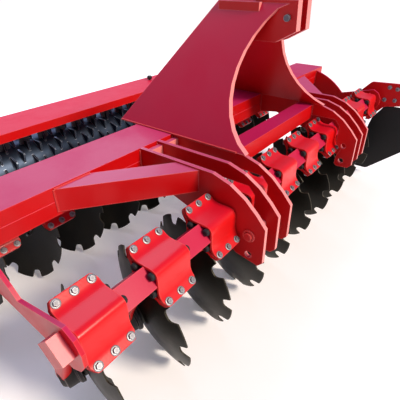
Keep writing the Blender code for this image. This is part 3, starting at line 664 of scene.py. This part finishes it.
# %% Scraper tips, bearings and the small knob on the roller frame
SCRAPERS, SCRAPER_AHEAD = 19, 0.094  # how many tips, and how far they stand before the axle
frame_low, frame_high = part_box("roller_frame")
scraper_parts, holder_bolts = [], []
tip_y = spin[1] - SCRAPER_AHEAD
tip_z = spin[2] + math.sqrt(CORE**2 - SCRAPER_AHEAD**2) + 0.030
for ring in range(SCRAPERS):
    x = (ring - SCRAPERS // 2) * 2 * RING_PITCH
    scraper_parts.append(upright(x, tip_y, tip_z))
    holder_bolts.append(place((x, tip_y - 0.012, FRONT.z - 0.030), (1, 0, 0), (0, 0, 1), (0, -1, 0)))
blade_outline = rounded([(-0.032, -0.024), (0.032, -0.024), (0.032, 0.060), (-0.032, 0.060)], 0.006, 4)
blade = plate(blade_outline, -0.0035, 0.0035, 0.0008)
blade = copies(blade, [place((0, -0.0045, 0), (1, 0, 0), (0, 0, 1), (0, -1, 0))])
finished("scraper_blades", copies(blade, scraper_parts), ZINC, "packer_frame")
finished("scraper_bolts", copies(bolt(0.008, 0.014), holder_bolts), ZINC, "packer_frame")
bearing = lathe([(-0.001, 0.062), (0.006, 0.062), (0.010, 0.058), (0.010, 0.046), (0.020, 0.042),
                 (0.0225, 0.034), (0.0225, 0.010)], 36)
bearing_places = [place((frame_low.x, spin[1], spin[2]), (0, -1, 0), (0, 0, 1), (-1, 0, 0)),
                  place((frame_high.x, spin[1], spin[2]), (0, 1, 0), (0, 0, 1), (1, 0, 0))]
finished("roller_bearings", copies(bearing, bearing_places), BLACK, "packer_frame")
knob = lathe([(-0.002, 0.010), (0.006, 0.010), (0.008, 0.018), (0.022, 0.020), (0.030, 0.014),
              (0.032, 0.004)], 20)
knob = copies(knob, [upright(0.595, FRONT.y + 1.50, FRONT.z + 0.034)])
finished("frame_knob", knob, BLACK, "packer_frame")
print("scrapers:", len(scraper_parts), "bearings:", len(bearing_places))

# %% [markdown]
# ## Deflectors
# A red bracket leaves the open end of each row and carries a black plate that keeps the soil in
# line. Plate and bracket are outlines in the Y-Z plane, given thickness along X, and the same lines
# make both sides. A hair is kept between faces that would share a plane.

# %% Deflectors
SHEET, BRACKET_THICK, HAIR = 0.006, 0.012, 0.0002
SHEET_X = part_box("right_deflector")[1].x - SHEET
BRACKET = np.array([(-0.200, 0.118), (-0.200, -0.028), (-0.097, -0.046), (-0.031, -0.120),
                    (0.035, -0.152), (0.159, -0.049), (0.020, 0.107)])
BAR_HALF = 0.040
BAR = BAR_HALF * np.array([(-1, -1), (1, -1), (1, 1), (-1, 1)])
BRACKET_BOLTS = ((-0.150, 0.080), (-0.100, 0.085), (-0.150, 0.005), (-0.085, 0.000))
across = [place((0, 0, 0), (0, 1, 0), (0, 0, 1), (1, 0, 0))]
for label, side, centre in (("right", 1, FRONT), ("left", -1, REAR)):
    low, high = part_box(f"{label}_deflector")
    tube_end = side * min(abs(low.x), abs(high.x))
    middle, top, foot = centre.y, centre.z - 0.040, low.z
    sheet = rounded([(low.y, top), (middle - 0.100, top), (middle - 0.033, top - 0.102),
                     (middle + 0.040, foot + 0.030), (middle + 0.025, foot), (middle - 0.080, foot),
                     (middle - 0.300, foot + 0.200), (low.y, foot + 0.270)], 0.018, 6)
    faces = sorted((side * (SHEET_X + HAIR), side * (SHEET_X + SHEET)))
    finished(f"{label}_soil_deflector", copies(plate(sheet, *faces, 0.0010), across), BLACK, "frame",
             [f"{label}_deflector"])
    inner_face = side * (SHEET_X - BRACKET_THICK)
    faces = sorted((side * (SHEET_X - HAIR), inner_face))
    bracket = plate(rounded(BRACKET + (centre.y, centre.z), 0.014, 6), *faces, 0.0014)
    faces = sorted((tube_end, inner_face))
    bracket_bar = plate(rounded(BAR + (centre.y, centre.z), 0.010, 4), *faces, 0.0010)
    finished(f"{label}_deflector_bracket", copies(joined([bracket, bracket_bar]), across), RED, "frame")
    heads = [place((inner_face, middle + y, centre.z + z), (0, side, 0), (0, 0, -1), (-side, 0, 0))
             for y, z in BRACKET_BOLTS]
    finished(f"{label}_deflector_bolts", copies(bolt(0.009, BRACKET_THICK + SHEET), heads), ZINC, "frame")
    print(label, "deflector:", len(heads), "bolts")

# %% [markdown]
# ## Pins and welds
# The lower hitch holds a pin across its outer gap, welded in and painted over, and the tower's
# clevis holds the top link's pin. Welds close the joints that would otherwise be sharp lines.

# %% Pins
FIRST_PLATE, PLATE_PITCH, HITCH_HALF = 0.38715, 0.0957, 0.008  # hitch plates: middle, spacing, half wall
HITCH_MIDDLES = [FIRST_PLATE + PLATE_PITCH * number for number in range(3)]
pin_parts = []
for side in (-1, 1):
    outer = side * (HITCH_MIDDLES[2] + HITCH_HALF)
    pin_parts.append(place((outer, FRONT.y - 0.108, FRONT.z - 0.035), (0, 1, 0), (0, 0, side), (side, 0, 0)))
pin_end = lathe([(-0.001, 0.0235), (0.0045, 0.0235), (0.0060, 0.0220), (0.0060, 0.0180), (0.0030, 0.0170),
                 (0.0030, 0.0155), (0.0125, 0.0150), (0.0135, 0.0130), (0.0135, 0.004)], 32)
finished("hitch_pin_ends", copies(pin_end, pin_parts), WELD, "frame")
low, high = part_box("tower")
top_pin = lathe([(-0.075, 0.008), (-0.075, 0.0122), (0.075, 0.0122), (0.075, 0.008)], 24)
top_at = (0, FRONT.y + 0.085, FRONT.z + 0.590)
top_place = place(top_at, (0, 1, 0), (0, 0, 1), (1, 0, 0))
finished("top_link_pin", copies(top_pin, [top_place]), ZINC, "frame")
print("top link pin:", round(high.z - top_at[2], 3), "under the tower's top")

# %% [markdown]
# A weld on this machine is a thin, painted, rippled bead where two plates meet. A tube that swells
# and shrinks along its path gives the ripples, and costs little. Most of them stand on the beam's
# front face, beside the hitch plates, the braces and the side plates. The others are at the tower's
# foot and the cross tube's ends, and one long seam runs along the beam.

# %% Welds
BRACE_X, BRACE_HALF = 0.900, 0.072
SIDE_FEET, SIDE_FOOT_HALF = (-1.240, 1.200), 0.0075
SEAM_END = 1.299
beam_front = FRONT.y + 0.397
welds = []


def upright_weld(x, y, low, high, radius):
    """A weld that runs straight up, between two heights over the front row tube's centre."""
    welds.append(bead([(x, y, FRONT.z + low), (x, y, FRONT.z + high)], radius))


for side in (-1, 1):
    foot, foot_z = side * 0.3995, FRONT.z + 0.158
    welds.append(bead([(foot, FRONT.y + 0.075, foot_z), (foot, FRONT.y + 0.705, foot_z)], 0.0042))
    for middle in HITCH_MIDDLES:
        for out in (-1, 1):
            edge = side * middle + out * (HITCH_HALF + 0.0025)
            upright_weld(edge, beam_front - 0.0015, 0.060, 0.148, 0.0036)
    for out in (-BRACE_HALF, BRACE_HALF):
        upright_weld(side * BRACE_X + out, beam_front - 0.001, 0.066, 0.148, 0.0038)
    brace_top = (beam_front - 0.002, FRONT.z + 0.1495)
    welds.append(bead([(side * BRACE_X - 0.070, *brace_top), (side * BRACE_X + 0.070, *brace_top)], 0.0038))
    inner_plate = side * (HITCH_MIDDLES[0] - HITCH_HALF)
    for y in (FRONT.y + 0.090, FRONT.y + 0.170):
        upright_weld(inner_plate, y, 0.080, 0.148, 0.0036)
for x in SIDE_FEET:
    for out in (-1, 1):
        upright_weld(x + out * SIDE_FOOT_HALF, beam_front - 0.001, 0.055, 0.135, 0.0034)
seam_line = (beam_front - 0.0002, FRONT.z + 0.104)
seam = bead([(-SEAM_END, *seam_line), (SEAM_END, *seam_line)], 0.0016, 0.05)
finished("welds", joined(welds), WELD, "frame", bend=60)
finished("beam_seam", seam, RED, "frame", bend=60)
print("welds:", len(welds))

# %% [markdown]
# ## Light and floor
# A pale floor, a wide warm sun from the front, and a cool panel high behind. The world lights the
# machine dimly and coolly, and shows plain white to the camera, so a side view has no horizon. The
# standard view transform keeps the reds deep; the default one turns strong reds towards pink.

# %% Floor and lights
floor_mesh = bpy.data.meshes.new("floor")
floor_mesh.from_pydata([(-40, -40, 0), (40, -40, 0), (40, 40, 0), (-40, 40, 0)], [], [(0, 1, 2, 3)])
floor = bpy.data.objects.new("floor", floor_mesh)
pale = bpy.data.materials.new("pale_floor")
pale.use_nodes = True
pale_shader = pale.node_tree.nodes["Principled BSDF"]
pale_shader.inputs["Base Color"].default_value = (0.93, 0.93, 0.94, 1.0)
pale_shader.inputs["Roughness"].default_value = 0.9
pale_shader.inputs["Emission Color"].default_value = (1.0, 1.0, 1.0, 1.0)
pale_shader.inputs["Emission Strength"].default_value = 0.15
floor_mesh.materials.append(pale)
bpy.context.scene.collection.objects.link(floor)

sun = bpy.data.objects.new("sun", bpy.data.lights.new("sun", "SUN"))
sun.data.energy = 3.9
sun.data.angle = math.radians(16)
sun.data.color = (1.0, 0.86, 0.70)
sun.rotation_euler = Vector((-0.15, 0.80, -0.62)).to_track_quat("-Z", "Y").to_euler()
bpy.context.scene.collection.objects.link(sun)
sky_light = bpy.data.objects.new("sky_panel", bpy.data.lights.new("sky_panel", "AREA"))
sky_light.data.size = 5.0
sky_light.data.energy = 200.0
sky_light.data.color = (0.74, 0.78, 1.0)
sky_light.location = (0.8, 3.0, 4.6)
to_machine = Vector((0.0, -0.2, 0.6)) - sky_light.location
sky_light.rotation_euler = to_machine.to_track_quat("-Z", "Y").to_euler()
bpy.context.scene.collection.objects.link(sky_light)

world = bpy.data.worlds.new("studio")
world.use_nodes = True
sky_tree = world.node_tree
sky_glow = sky_tree.nodes["Background"]
sky_glow.inputs["Color"].default_value = (0.72, 0.74, 1.0, 1.0)
sky_glow.inputs["Strength"].default_value = 0.42
wall = sky_tree.nodes.new("ShaderNodeBackground")
wall.inputs["Color"].default_value = (1.0, 1.0, 1.0, 1.0)
seen = sky_tree.nodes.new("ShaderNodeLightPath")
choice = sky_tree.nodes.new("ShaderNodeMixShader")
sky_tree.links.new(seen.outputs["Is Camera Ray"], choice.inputs["Fac"])
sky_tree.links.new(sky_glow.outputs[0], choice.inputs[1])
sky_tree.links.new(wall.outputs[0], choice.inputs[2])
sky_tree.links.new(choice.outputs[0], sky_tree.nodes["World Output"].inputs["Surface"])
bpy.context.scene.world = world
bpy.context.scene.view_settings.view_transform = "Standard"

# %% [markdown]

# %% Bring the scene up to date
bpy.context.view_layer.update()
